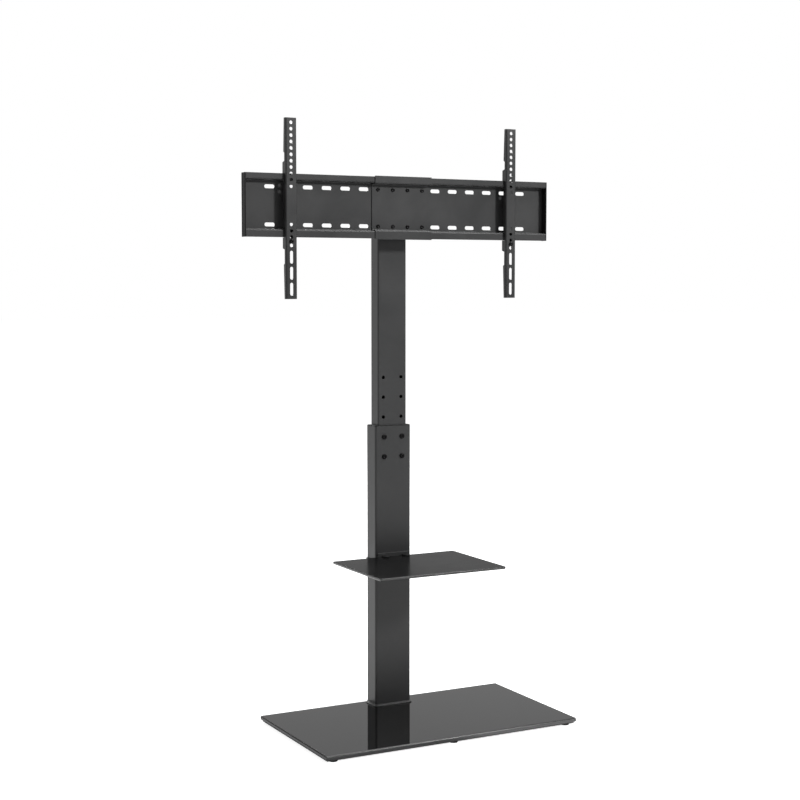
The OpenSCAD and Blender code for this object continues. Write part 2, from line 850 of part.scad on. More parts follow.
module shelf_strap() {
    inner = [column_w + 2 * clamp_gap, column_d + 2 * clamp_gap];
    color(steel_colour) difference() {
        at_column(clamp_low) linear_extrude(clamp_h) difference() {
            union() {
                round_rect(inner[0] + 2 * clamp_t, inner[1] + 2 * clamp_t, column_r + clamp_gap + clamp_t);
                translate([-clamp_half, -inner[1] / 2]) square([2 * clamp_half, clamp_t]);
            }
            round_rect(inner[0], inner[1], column_r + clamp_gap);
            translate([-inner[0] / 2, -inner[1] / 2 - clamp_t]) square([inner[0], inner[1] / 2]);
            translate([-clamp_half, -inner[1] / 2 - clamp_t]) square([2 * clamp_half, clamp_t]);
        }
        clamp_bolt_places() drill_y(clamp_bolt_r + hole_gap, clamp_t);
    }
}

module clamp_bolts() {
    color(screw_colour) clamp_bolt_places() {
        translate([0, -clamp_t - clamp_bolt_head_h, 0]) bar_y(clamp_bolt_head_r, clamp_bolt_head_h);
        translate([0, -clamp_t, 0]) bar_y(clamp_bolt_r, 2 * clamp_t + clamp_nut_h + over);
    }
}

module clamp_nuts() {
    color(screw_colour) clamp_bolt_places() difference() {
        translate([0, clamp_t, 0]) nut_y(clamp_nut_r, clamp_nut_h);
        bar_y(clamp_bolt_r + thread_gap, clamp_t + clamp_nut_h + over);
    }
}

module shelf_screws() {
    color(screw_colour) shelf_screw_places(prong_top - clamp_t - nut_h) {
        cylinder(r = small_head_r, h = nut_h, $fn = hex_sides);
        cylinder(r = small_r, h = nut_h + clamp_t + pad_t + shelf_t);
    }
}

module shelf_caps() {
    color(plastic_colour) shelf_screw_places(shelf_z) cylinder(r = shelf_cap_r, h = shelf_cap_h);
}

base_glass();
base_plate();
rubber_feet();
foot_flange();
foot_screws();
lower_column();
column_collar();
height_bolts();
mast_tube();
mast_glide();
mast_cap();
swivel_bracket();
bracket_bolts();
bracket_nuts();
swivel_pin();
swivel_washers();
swivel_yoke();
centre_plate();
left_plate();
right_plate();
left_end_cap();
right_end_cap();
plate_bolts();
plate_nuts();
left_rail();
left_lock_screw();
left_lock_clamp();
right_rail();
right_lock_screw();
right_lock_clamp();
shelf_glass();
shelf_bracket();
shelf_pads();
shelf_strap();
clamp_bolts();
clamp_nuts();
shelf_screws();
shelf_caps();
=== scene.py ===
import json
import math

import bpy
import numpy as np
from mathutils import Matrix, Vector


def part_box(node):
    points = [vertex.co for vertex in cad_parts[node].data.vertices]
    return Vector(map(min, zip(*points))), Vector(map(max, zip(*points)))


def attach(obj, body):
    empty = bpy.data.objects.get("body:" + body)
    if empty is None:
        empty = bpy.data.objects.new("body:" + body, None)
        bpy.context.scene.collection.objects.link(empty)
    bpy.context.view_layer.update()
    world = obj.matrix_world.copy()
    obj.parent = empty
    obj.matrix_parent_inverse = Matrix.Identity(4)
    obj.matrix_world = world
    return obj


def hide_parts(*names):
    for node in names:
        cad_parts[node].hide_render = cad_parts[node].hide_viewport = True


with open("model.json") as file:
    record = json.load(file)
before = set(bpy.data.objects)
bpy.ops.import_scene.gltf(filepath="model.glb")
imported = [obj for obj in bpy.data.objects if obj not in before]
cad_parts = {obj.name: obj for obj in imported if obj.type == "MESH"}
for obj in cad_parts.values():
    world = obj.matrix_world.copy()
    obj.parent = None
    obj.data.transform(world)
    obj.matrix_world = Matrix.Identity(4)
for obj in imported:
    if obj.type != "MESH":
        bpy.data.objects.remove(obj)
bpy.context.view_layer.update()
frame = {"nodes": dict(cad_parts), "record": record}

nodes = frame["nodes"]
print("frame loaded:", len(nodes), "CAD nodes")

# Camera, at the photograph's place
cameraSettings = {
    "place": (-1.8366, -3.3657, 1.0964),
    "turnRight": 27.952,  # degrees away from straight along the depth of the stand
    "tiltDown": 4.329,
    "lens": 70.72, "sensor": 36,
    "nearest": 0.05, "farthest": 200,
}


def makeCamera(settings):
    # the camera looks along +Y, tipped down and turned to the right by two angles
    data = bpy.data.cameras.new("standCamera")
    data.lens = settings["lens"]
    data.sensor_width = settings["sensor"]
    data.clip_start, data.clip_end = settings["nearest"], settings["farthest"]
    camera = bpy.data.objects.new("standCamera", data)
    camera.location = settings["place"]
    tilt, turn = math.radians(90 - settings["tiltDown"]), -math.radians(settings["turnRight"])
    camera.rotation_euler = (tilt, 0, turn)
    bpy.context.scene.collection.objects.link(camera)
    bpy.context.scene.camera = camera


makeCamera(cameraSettings)
bpy.context.scene.view_settings.view_transform = "Standard"
print("camera set")

# Node helpers
floatSocket, vectorSocket = "NodeSocketFloat", "NodeSocketVector"
mixUnder, mixOver, mixColour = 6, 7, 2  # a Mix node's two colour inputs and its colour output


def emptyTree(holder):
    # the node tree of a material or the world, cleared
    holder.use_nodes = True
    holder.node_tree.nodes.clear()
    return holder.node_tree


def addNode(tree, kind, **settings):
    # a new node with its own settings, such as its operation
    node = tree.nodes.new(kind)
    for name, value in settings.items():
        setattr(node, name, value)
    return node


def setInputs(node, values):
    # a plain value for each input, by its name
    for name, value in values.items():
        node.inputs[name].default_value = value
    return node


def wire(tree, *pairs):
    # one link for each pair of an output and an input
    for source, target in pairs:
        tree.links.new(source, target)


def mathNode(tree, operation, **settings):
    # one operation on two numbers
    return addNode(tree, "ShaderNodeMath", operation=operation, **settings)


def rangeNode(tree, source=(0, 1), target=(0, 1), **settings):
    # carries numbers from one span over to another, and holds them at its ends
    names = ("From Min", "From Max", "To Min", "To Max")
    node = addNode(tree, "ShaderNodeMapRange", **settings)
    return setInputs(node, dict(zip(names, (*source, *target))))


def noiseNode(tree, settings):
    # a noise with its own detail and roughness
    return setInputs(addNode(tree, "ShaderNodeTexNoise"), settings)


def colourMix(tree, over, under=None):
    # the colour over shows in place of the one under by the share in the node's factor
    node = addNode(tree, "ShaderNodeMix", data_type="RGBA")
    node.inputs[mixOver].default_value = (*over, 1)
    if under:
        node.inputs[mixUnder].default_value = (*under, 1)
    return node


def newGroup(name, inputs, outputs):
    # an empty group tree with its two ends; both lists hold (name, socket kind)
    tree = bpy.data.node_groups.new(name, "ShaderNodeTree")
    for way, sockets in (("INPUT", inputs), ("OUTPUT", outputs)):
        for label, kind in sockets:
            tree.interface.new_socket(name=label, in_out=way, socket_type=kind)
    return tree, addNode(tree, "NodeGroupInput"), addNode(tree, "NodeGroupOutput")


def placeGroup(tree, group, values):
    # a shared effect in a material's tree, with this material's own values
    return setInputs(addNode(tree, "ShaderNodeGroup", node_tree=group), values)


# Shared effects: their noises, and the spans that become 0 to 1
edgeEffect = {"samples": 6}
grainEffect = {
    "grain": {"Detail": 2.0, "Roughness": 0.55},
    "patch": {"Detail": 3.0, "Roughness": 0.6, "Distortion": 0.4}, "patchSpan": (0.32, 0.68),
}
wearAndSheenEffect = {"noise": {"Detail": 4.0, "Roughness": 0.7}, "span": (0.42, 0.7)}
dustEffect = {
    "noise": {"Detail": 5.0, "Roughness": 0.75}, "span": (0.4, 0.75), "upward": (0.6, 1.0),
}


def makeEdgeGroup(settings):
    # the edge mask is how far the rounded normal leans away from the face's own, over the spread
    tree, inlet, outlet = newGroup(
        "softEdges",
        [("Radius", floatSocket), ("Spread", floatSocket)],
        [("Normal", vectorSocket), ("Edge", floatSocket)],
    )
    bevel = addNode(tree, "ShaderNodeBevel", samples=settings["samples"])
    geometry = addNode(tree, "ShaderNodeNewGeometry")
    lean = addNode(tree, "ShaderNodeVectorMath", operation="DOT_PRODUCT")
    away = mathNode(tree, "SUBTRACT")
    away.inputs[0].default_value = 1
    share = mathNode(tree, "DIVIDE", use_clamp=True)
    wire(
        tree,
        (inlet.outputs["Radius"], bevel.inputs["Radius"]),
        (bevel.outputs["Normal"], lean.inputs[0]),
        (geometry.outputs["Normal"], lean.inputs[1]),
        (lean.outputs["Value"], away.inputs[1]),
        (away.outputs["Value"], share.inputs[0]),
        (inlet.outputs["Spread"], share.inputs[1]),
        (bevel.outputs["Normal"], outlet.inputs["Normal"]),
        (share.outputs["Value"], outlet.inputs["Edge"]),
    )
    return tree


def makeGrainGroup(settings):
    # height is a fine noise; tone is a slow noise from 0 to 1 that shades the surface in patches
    tree, inlet, outlet = newGroup(
        "coatGrain",
        [
            ("Coordinates", vectorSocket), ("Grains Per Metre", floatSocket),
            ("Patches Per Metre", floatSocket),
        ],
        [("Height", floatSocket), ("Tone", floatSocket)],
    )
    grain, patch = noiseNode(tree, settings["grain"]), noiseNode(tree, settings["patch"])
    spread = rangeNode(tree, settings["patchSpan"])
    wire(
        tree,
        (inlet.outputs["Coordinates"], grain.inputs["Vector"]),
        (inlet.outputs["Coordinates"], patch.inputs["Vector"]),
        (inlet.outputs["Grains Per Metre"], grain.inputs["Scale"]),
        (inlet.outputs["Patches Per Metre"], patch.inputs["Scale"]),
        (grain.outputs["Fac"], outlet.inputs["Height"]),
        (patch.outputs["Fac"], spread.inputs["Value"]),
        (spread.outputs["Result"], outlet.inputs["Tone"]),
    )
    return tree


def brokenMask(tree, inlet, density, mask, settings):
    # the mask times a noise of this density, spread from 0 to 1, times the amount
    noise, spread = noiseNode(tree, settings["noise"]), rangeNode(tree, settings["span"])
    broken = mathNode(tree, "MULTIPLY")
    scaled = mathNode(tree, "MULTIPLY", use_clamp=True)
    wire(
        tree,
        (inlet.outputs["Coordinates"], noise.inputs["Vector"]),
        (inlet.outputs[density], noise.inputs["Scale"]),
        (noise.outputs["Fac"], spread.inputs["Value"]),
        (spread.outputs["Result"], broken.inputs[0]),
        (mask, broken.inputs[1]),
        (broken.outputs["Value"], scaled.inputs[0]),
        (inlet.outputs["Amount"], scaled.inputs[1]),
    )
    return scaled.outputs["Value"]


def makeWearAndSheenGroup(settings):
    # edge wear and a painted sheen: the edge mask, broken up so that edges show bright only here
    # and there
    tree, inlet, outlet = newGroup(
        "rubbedEdges",
        [
            ("Coordinates", vectorSocket), ("Edge", floatSocket),
            ("Breaks Per Metre", floatSocket), ("Amount", floatSocket),
        ],
        [("Wear", floatSocket)],
    )
    wearAndSheenMask = brokenMask(tree, inlet, "Breaks Per Metre", inlet.outputs["Edge"], settings)
    wire(tree, (wearAndSheenMask, outlet.inputs["Wear"]))
    return tree


def makeDustGroup(settings):
    # dust lies where a face looks up, broken up into specks
    tree, inlet, outlet = newGroup(
        "settledDust",
        [
            ("Coordinates", vectorSocket), ("Specks Per Metre", floatSocket),
            ("Amount", floatSocket),
        ],
        [("Dust", floatSocket)],
    )
    geometry = addNode(tree, "ShaderNodeNewGeometry")
    parts = addNode(tree, "ShaderNodeSeparateXYZ")
    upward = rangeNode(tree, settings["upward"])
    dust = brokenMask(tree, inlet, "Specks Per Metre", upward.outputs["Result"], settings)
    wire(
        tree,
        (geometry.outputs["Normal"], parts.inputs[0]),
        (parts.outputs["Z"], upward.inputs["Value"]),
        (dust, outlet.inputs["Dust"]),
    )
    return tree


softEdges = makeEdgeGroup(edgeEffect)
coatGrain = makeGrainGroup(grainEffect)
rubbedEdges = makeWearAndSheenGroup(wearAndSheenEffect)
settledDust = makeDustGroup(dustEffect)
print("shader groups built")

# Coats, plastic, rubber and screws: a user changes their colours and textures here
# each look's edge colour lightens edges, partly as rubbed wear and partly as a painted highlight
powderCoatLook = {
    "colour": (0.026, 0.0265, 0.027), "patchColour": (0.032, 0.032, 0.0325),
    "rubColour": (0.13, 0.13, 0.132), "roughness": (0.3, 0.38), "level": 0.42,
    "grains": 750.0, "grainDepth": 0.00006, "patches": 7.0,
    "edgeRadius": 0.0006, "rub": 0.3, "dust": 0.03,
}
# a darker, less glossy copy of the same powder coat for the plates and arms: painted shade
shadedSheetCoatLook = {**powderCoatLook, "colour": (0.0235, 0.024, 0.0245), "level": 0.33}
mouldedLook = {
    "colour": (0.005, 0.005, 0.0055), "patchColour": (0.008, 0.008, 0.008),
    "rubColour": (0.04, 0.04, 0.04), "roughness": (0.5, 0.6), "level": 0.2,
    "grains": 1500.0, "grainDepth": 0.00005, "patches": 25.0,
    "edgeRadius": 0.0006, "rub": 0.2, "dust": 0.02,
}
rubberLook = {
    "colour": (0.006, 0.006, 0.006), "patchColour": (0.01, 0.01, 0.01),
    "rubColour": (0.03, 0.03, 0.03), "roughness": (0.72, 0.85), "level": 0.3,
    "grains": 1100.0, "grainDepth": 0.00008, "patches": 40.0,
    "edgeRadius": 0.0008, "rub": 0.15, "dust": 0.08,
}
screwLook = {
    "colour": (0.004, 0.004, 0.0045), "patchColour": (0.009, 0.009, 0.009),
    "rubColour": (0.09, 0.088, 0.084), "roughness": (0.22, 0.32), "level": 0.1,
    "grains": 2600.0, "grainDepth": 0.00002, "patches": 90.0,
    "edgeRadius": 0.0004, "rub": 0.15, "dust": 0.01,
}
weldLook = {
    "colour": (0.027, 0.0275, 0.028), "patchColour": (0.035, 0.035, 0.036),
    "rubColour": (0.1, 0.1, 0.1), "roughness": (0.3, 0.38), "level": 0.42,
    "grains": 1200.0, "grainDepth": 0.00008, "patches": 60.0,
    "edgeRadius": 0.0003, "rub": 0.2, "dust": 0.03,
}
coatHabits = {  # what all of them share
    "ior": 1.5, "edgeSpread": 0.3, "breaksPerPatch": 8, "bump": 0.6,
    "specks": 260.0, "dustColour": (0.32, 0.31, 0.29),
}


def newSurface(name, level, ior):
    # a material of one Principled surface; its tree, shader and Object coordinates come with it
    material = bpy.data.materials.new(name)
    tree = emptyTree(material)
    output = addNode(tree, "ShaderNodeOutputMaterial")
    shader = addNode(tree, "ShaderNodeBsdfPrincipled")
    setInputs(shader, {"IOR": ior, "Specular IOR Level": level})
    wire(tree, (shader.outputs["BSDF"], output.inputs["Surface"]))
    return material, tree, shader, addNode(tree, "ShaderNodeTexCoord").outputs["Object"]


def coatedMaterial(name, look, habits=coatHabits):
    # tone runs colour and roughness between their two values and grain is the bump; the
    # wear-and-sheen mask lightens edges as wear and as a painted highlight, and the dust mask pales
    # and dulls what looks up
    material, tree, shader, place = newSurface(name, look["level"], habits["ior"])
    edges = placeGroup(tree, softEdges, {
        "Radius": look["edgeRadius"], "Spread": habits["edgeSpread"],
    })
    grain = placeGroup(tree, coatGrain, {
        "Grains Per Metre": look["grains"], "Patches Per Metre": look["patches"],
    })
    rub = placeGroup(tree, rubbedEdges, {
        "Breaks Per Metre": look["patches"] * habits["breaksPerPatch"], "Amount": look["rub"],
    })
    dust = placeGroup(tree, settledDust, {
        "Specks Per Metre": habits["specks"], "Amount": look["dust"],
    })
    toned = colourMix(tree, look["patchColour"], look["colour"])
    # lighter edges: partly wear, partly a painted sheen
    edgeWearAndSheen = colourMix(tree, look["rubColour"])
    dusty = colourMix(tree, habits["dustColour"])
    rough = rangeNode(tree, target=look["roughness"])
    dull = mathNode(tree, "ADD", use_clamp=True)
    bump = addNode(tree, "ShaderNodeBump")
    setInputs(bump, {"Strength": habits["bump"], "Distance": look["grainDepth"]})
    wire(
        tree,
        (place, grain.inputs["Coordinates"]),
        (place, rub.inputs["Coordinates"]),
        (place, dust.inputs["Coordinates"]),
        (edges.outputs["Edge"], rub.inputs["Edge"]),
        (grain.outputs["Tone"], toned.inputs["Factor"]),
        (toned.outputs[mixColour], edgeWearAndSheen.inputs[mixUnder]),
        (rub.outputs["Wear"], edgeWearAndSheen.inputs["Factor"]),
        (edgeWearAndSheen.outputs[mixColour], dusty.inputs[mixUnder]),
        (dust.outputs["Dust"], dusty.inputs["Factor"]),
        (dusty.outputs[mixColour], shader.inputs["Base Color"]),
        (grain.outputs["Tone"], rough.inputs["Value"]),
        (rough.outputs["Result"], dull.inputs[0]),
        (dust.outputs["Dust"], dull.inputs[1]),
        (dull.outputs["Value"], shader.inputs["Roughness"]),
        (grain.outputs["Height"], bump.inputs["Height"]),
        (edges.outputs["Normal"], bump.inputs["Normal"]),
        (bump.outputs["Normal"], shader.inputs["Normal"]),
    )
    return material


# Glass: its faces, its ground arrises and its edge
glassTopLook = {
    "colour": (0.0035, 0.0036, 0.0037), "hazeColour": (0.0055, 0.0055, 0.0057),
    "roughness": (0.02, 0.04), "smears": 14.0, "level": 0.15, "dust": 0.004,
}
glassShelfLook = {
    "colour": (0.006, 0.006, 0.0062), "hazeColour": (0.009, 0.009, 0.0092),
    "roughness": (0.2, 0.25), "smears": 18.0, "level": 0.012, "dust": 0.004,
}
glassArrisLook = {
    "colour": (0.004, 0.0042, 0.0042), "hazeColour": (0.006, 0.0063, 0.0063),
    "roughness": (0.28, 0.34), "smears": 60.0, "level": 0.55, "dust": 0.0,
}
# a copy of the arris finish that reflects less, for the two sides: painted shade that keeps them
# dark
shadedSideArrisLook = {**glassArrisLook, "level": 0.14}
glassEdgeLook = {
    "colour": (0.004, 0.0045, 0.0045), "hazeColour": (0.007, 0.0077, 0.0077),
    "roughness": (0.12, 0.18), "smears": 60.0, "level": 0.8, "dust": 0.0,
}
glassHabits = {"ior": 1.5, "specks": 700.0, "dustColour": (0.4, 0.39, 0.37)}


def glassMaterial(name, look, habits=glassHabits):
    # black-backed glass: smears run colour and roughness between their two values, and the dust
    # mask pales what looks up
    material, tree, shader, place = newSurface(name, look["level"], habits["ior"])
    smear = placeGroup(tree, coatGrain, {"Patches Per Metre": look["smears"]})
    dust = placeGroup(tree, settledDust, {
        "Specks Per Metre": habits["specks"], "Amount": look["dust"],
    })
    haze = colourMix(tree, look["hazeColour"], look["colour"])
    dusty = colourMix(tree, habits["dustColour"])
    rough = rangeNode(tree, target=look["roughness"])
    wire(
        tree,
        (place, smear.inputs["Coordinates"]),
        (place, dust.inputs["Coordinates"]),
        (smear.outputs["Tone"], haze.inputs["Factor"]),
        (haze.outputs[mixColour], dusty.inputs[mixUnder]),
        (dust.outputs["Dust"], dusty.inputs["Factor"]),
        (dusty.outputs[mixColour], shader.inputs["Base Color"]),
        (smear.outputs["Tone"], rough.inputs["Value"]),
        (rough.outputs["Result"], shader.inputs["Roughness"]),
    )
    return material


powderCoat = coatedMaterial("blackPowderCoat", powderCoatLook)
shadedSheetCoat = coatedMaterial("sheetPowderCoat", shadedSheetCoatLook)
mouldedBlack = coatedMaterial("mouldedBlack", mouldedLook)
blackRubber = coatedMaterial("blackRubber", rubberLook)
blackScrew = coatedMaterial("blackScrewZinc", screwLook)
coatedWeld = coatedMaterial("coatedWeld", weldLook)
glassTop = glassMaterial("polishedBlackGlass", glassTopLook)
glassSatin = glassMaterial("satinBlackGlass", glassShelfLook)
glassArris = glassMaterial("groundGlassArris", glassArrisLook)
shadedSideArris = glassMaterial("groundSideArris", shadedSideArrisLook)
glassEdge = glassMaterial("polishedGlassEdge", glassEdgeLook)

finishOf = {
    "black_glass": glassTop, "black_steel": powderCoat, "black_plastic": mouldedBlack,
    "black_rubber": blackRubber, "black_screw": blackScrew,
}
bodies = frame["record"]["behaviour"]["bodies"]
sheetNodes = bodies["head"] + bodies["left_arm"] + bodies["right_arm"]
for part in frame["record"]["subparts"]:
    node = nodes[part["node"]]
    finish = finishOf[part["material_slot"]]
    # the plates and arms take the darker copy of the coat, as painted shade on the same steel
    if finish is powderCoat and part["node"] in sheetNodes:
        finish = shadedSheetCoat
    if not node.material_slots:
        node.data.materials.append(None)
    for holder in node.material_slots:
        holder.material = finish
print("materials made and given to the CAD nodes")


# Surfaces
def rectRings(rows, steps=6):
    # ring k is a rounded rectangle with the width, depth, corner radius and height of row k
    rows = np.asarray(rows, float)[:, None]
    quarter = np.linspace(0, math.pi / 2, steps + 1)[None]
    angle = (quarter + np.arange(4)[:, None] * math.pi / 2).ravel()
    outward = np.stack([np.cos(angle), np.sin(angle)], axis=1)
    sign = np.repeat(np.array([[1, 1], [-1, 1], [-1, -1], [1, -1]]), steps + 1, axis=0)
    flat = sign * (rows[..., :2] / 2 - rows[..., 2:3]) + rows[..., 2:3] * outward
    height = np.broadcast_to(rows[..., 3:4], flat.shape[:2] + (1,))
    return np.concatenate([flat, height], axis=2)


def insetRows(width, depth, corner, profile, least=0.0001):
    # rows for rectRings: each (inset, height) of the profile draws every side in by the inset
    profile = np.asarray(profile, float)
    inset, height = profile[:, 0], profile[:, 1]
    radius = np.maximum(corner - inset, least)
    return np.stack([width - 2 * inset, depth - 2 * inset, radius, height], axis=1)


def turnedRings(profile, columns=48):
    # each row is (radius, height, share of hexagon); at a full share the ring is a hexagon with
    # that radius as its half width across the flats
    profile = np.asarray(profile, float)
    angle = np.arange(columns) * 2 * math.pi / columns
    hexagon = 1 / np.cos(np.mod(angle, math.pi / 3) - math.pi / 6)
    radius = profile[:, 0, None] * (1 + profile[:, 2, None] * (hexagon[None] - 1))
    height = np.broadcast_to(profile[:, 1, None], radius.shape)
    return np.stack([radius * np.cos(angle), radius * np.sin(angle), height], axis=2)


def roundOver(start, end, steps=4):
    # a quarter round from one (inset, height) to another that leaves the first along the height
    turn = np.linspace(0, math.pi / 2, steps + 1)
    inset = start[0] + (end[0] - start[0]) * (1 - np.cos(turn))
    height = start[1] + (end[1] - start[1]) * np.sin(turn)
    return np.stack([inset, height], axis=1).tolist()


def evenPath(points, count, closed):
    # the path through the points, cut into equal lengths; also each cut's distance and the total
    points = np.asarray(points, float)
    points = np.concatenate([points, points[:1]]) if closed else points
    stretch = np.linalg.norm(np.diff(points, axis=0), axis=1)
    length = np.concatenate([[0], np.cumsum(stretch)])
    along = np.linspace(0, length[-1], count + 1 if closed else count)
    along = along[:-1] if closed else along
    path = np.stack([np.interp(along, length, points[:, k]) for k in range(3)], axis=1)
    return path, along, length[-1]


def beadRings(points, up, look, closed=False, sides=10, perRipple=5, fewest=12):
    # a round section of radius r(s) = size (1 + ripple |sin(pi s / pitch)|), carried along the
    # path; the ends of an open bead taper to the tip's share of that
    total = evenPath(points, 2, closed)[2]
    count = max(fewest, int(total / look["pitch"] * perRipple))
    path, along, total = evenPath(points, count, closed)
    if closed:
        forward = np.roll(path, -1, axis=0) - np.roll(path, 1, axis=0)
    else:
        forward = np.gradient(path, axis=0)
    forward /= np.linalg.norm(forward, axis=1, keepdims=True)
    up = np.asarray(up, float)
    aside = np.cross(forward, up)
    ripple = np.abs(np.sin(math.pi * along / look["pitch"]))
    radius = look["size"] * (1 + look["ripple"] * ripple)
    if not closed:
        fromEnd = np.minimum(along, total - along) / (2 * look["size"])
        radius *= np.clip(fromEnd + look["tip"], look["tip"], 1)
    turn = np.arange(sides) * 2 * math.pi / sides
    section = np.cos(turn)[None, :, None] * aside[:, None] + np.sin(turn)[None, :, None] * up
    return path[:, None] + radius[:, None, None] * section


towards = {  # the world directions of a piece's own x, y and z
    "up": [[1, 0, 0], [0, 1, 0], [0, 0, 1]],
    "down": [[1, 0, 0], [0, -1, 0], [0, 0, -1]],
    "front": [[1, 0, 0], [0, 0, 1], [0, -1, 0]],
    "back": [[1, 0, 0], [0, 0, -1], [0, 1, 0]],
    "right": [[0, 1, 0], [0, 0, 1], [1, 0, 0]],
    "left": [[0, -1, 0], [0, 0, 1], [-1, 0, 0]],
}


def placed(rings, origin, direction="up"):
    # the rings turned so that their height points in a direction, then moved to the origin given
    return rings @ np.array(towards[direction], float) + np.asarray(origin, float)


def ringFaces(rings, closed):
    # quads join neighbouring rings, and a flat face closes either end of an open stack; a volume
    # below nought means that all of them look inwards, and then they are turned
    index = np.arange(rings.shape[0] * rings.shape[1]).reshape(rings.shape[:2])
    beside = np.roll(index, -1, axis=1)
    above, aboveBeside = np.roll(index, -1, axis=0), np.roll(beside, -1, axis=0)
    quads = np.stack([index, beside, aboveBeside, above], axis=2)
    quads = quads if closed else quads[:-1]
    ends = [] if closed else [index[0][::-1], index[-1]]
    flat = rings.reshape(-1, 3)
    corners = flat[quads.reshape(-1, 4)]
    area = np.cross(corners[:, 2] - corners[:, 0], corners[:, 3] - corners[:, 1]) / 2
    volume = (corners.mean(axis=1) * area).sum() / 3
    for end in ends:
        ring = flat[end]
        volume += ring.mean(axis=0) @ np.cross(ring, np.roll(ring, -1, axis=0)).sum(axis=0) / 6
    if volume < 0:
        quads, ends = quads[..., ::-1], [end[::-1] for end in ends]
    return quads, ends


def makePiece(
    name, stacks, body, materials, stands=(), closed=False, band=0, sharp=38
):
    # all stacks of rings become one mesh with faces outwards; band gives each quad's material by
    # row and column, and the flat ends have the first
    points, faces, marks, start = [], [], [], 0
    for rings in stacks:
        quads, ends = ringFaces(rings, closed)
        points.append(rings.reshape(-1, 3))
        faces += (quads.reshape(-1, 4) + start).tolist() + [(end + start).tolist() for end in ends]
        marks += np.broadcast_to(band, quads.shape[:2]).ravel().tolist() + [0] * len(ends)
        start += rings.shape[0] * rings.shape[1]
    mesh = bpy.data.meshes.new(name)
    mesh.from_pydata(np.concatenate(points).tolist(), [], faces)
    for material in materials:
        mesh.materials.append(material)
    mesh.polygons.foreach_set("material_index", marks)
    mesh.update()
    mesh.set_sharp_from_angle(angle=math.radians(sharp))
    mesh.polygons.foreach_set("use_smooth", [len(face) == 4 for face in faces])  # not the ends
    piece = bpy.data.objects.new(name, mesh)
    bpy.context.scene.collection.objects.link(piece)
    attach(piece, body)
    if stands:
        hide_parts(*stands)


def boxOf(name):
    # the lowest and the highest corner of a CAD node
    low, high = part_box(name)
    return np.array(low), np.array(high)


def middleAt(low, high, height):
    # the middle of a box in plan, at a height
    return (low[0] + high[0]) / 2, (low[1] + high[1]) / 2, height


# Glass base and glass shelf
glassSheets = {
    "base": {"corner": 0.002, "arris": 0.0016, "slope": 1.7},
    "shelf": {"corner": 0.004, "arris": 0.0008, "slope": 1.6},
}
sheetHabits = {"ease": 0.12, "drop": 0.2, "cornerSteps": 8, "sharp": 60}


def glassSheet(name, node, body, settings, face, habits=sheetHabits):
    # a rounded rectangle lifted through its thickness; both edges have a chamfer slope times as
    # tall as wide, with eased corners; the upper one has the ground arris finish along the front
    # and back, and along the two sides a copy that reflects less, painted shade that keeps them
    # dark
    low, high = boxOf(node)
    width, depth, thick = high - low
    cut = settings["arris"]
    fine, tall = cut * habits["ease"], cut * settings["slope"]
    slight = fine * habits["drop"]
    lower = [(cut + fine, 0), (cut, slight), (slight, tall), (0, tall + fine)]
    profile = lower + [(inset, thick - height) for inset, height in lower[::-1]]
    steps = habits["cornerSteps"]
    rings = rectRings(insetRows(width, depth, settings["corner"], profile), steps)
    rings = placed(rings, middleAt(low, high, low[2]))
    materials = [face, glassArris, glassEdge, shadedSideArris]
    marks = np.full((len(profile) - 1, rings.shape[1]), materials.index(glassEdge))
    upper = marks[len(lower):]  # above the lower chamfer and the upright edge
    upper[:] = materials.index(glassArris)
    # the straight left and right take the darker copy of the arris finish: painted shade
    upper[:, [2 * steps + 1, 4 * steps + 3]] = materials.index(shadedSideArris)  # straight left and right
    makePiece(
        name, [rings], body, materials, [node], band=marks, sharp=habits["sharp"]
    )


glassSheet("blackGlassBase", "base_glass", "stand", glassSheets["base"], glassTop)
glassSheet("blackGlassShelf", "shelf_glass", "shelf", glassSheets["shelf"], glassSatin)
print("glass sheets made")

# Screws, bolts and nuts: head, shank, socket and bore are radii, rise a head's height, sink its
# socket's depth and apothem half the width across the flats
boltKinds = {
    "height": {"head": 0.0065, "rise": 0.004, "shank": 0.004, "socket": 0.0025, "sink": 0.0024},
    "plate": {"head": 0.0048, "rise": 0.0025, "shank": 0.003, "socket": 0.0017, "sink": 0.0015},
    "bracket": {"head": 0.0055, "rise": 0.004, "shank": 0.003, "socket": 0.0022, "sink": 0.0024},
    "lock": {"head": 0.0052, "rise": 0.0045, "shank": 0.0025, "socket": 0.0021, "sink": 0.0026},
    "clamp": {"head": 0.005, "rise": 0.0035, "shank": 0.003, "socket": 0.002, "sink": 0.002},
    "foot": {"head": 0.0065, "rise": 0.0022, "shank": 0.004, "socket": 0.0025, "sink": 0.0014},
}
nutKinds = {  # corner is the CAD nut's radius at its corners, for its place in its box
    "plate": {"apothem": 0.005, "bore": 0.00305, "height": 0.005},
    "clamp": {"apothem": 0.0043, "bore": 0.00305, "height": 0.004, "corner": 0.005},
    "bracket": {"apothem": 0.0047, "bore": 0.00305, "height": 0.005, "corner": 0.0055},
}
shelfScrew = {"apothem": 0.0043, "rise": 0.005, "shank": 0.0025}
shankTip = {"radius": 0.8, "height": 0.2}  # shares of the shank's radius
boltHead = {  # shares of the head's radius, its height, the dome's height and the socket
    "underside": 0.97, "rim": 0.06, "dome": 0.55, "domeWidth": 0.9, "domeSteps": 5,
    "mouth": 1.3, "throat": 1.02, "pit": 0.3,
    "lead": 0.0001, "step": 0.0003,  # metres
}
nutShape = {"rim": 0.98, "cut": 0.14, "flat": 1.6, "turned": 0.8}
hexHead = {  # shares of the apothem and the head's height
    "rim": 0.95, "dish": 0.8, "pit": 0.3, "flatTo": 0.8, "cutTo": 0.88, "turned": 0.8,
    "step": 0.0003, "sink": 0.0002,  # metres
}


def shankRows(shank, length):
    # a plain shank below the bearing face, with a cut tip
    tip = -length + shank * shankTip["height"]
    return [(shank * shankTip["radius"], -length, 0), (shank, tip, 0), (shank, 0, 0)]


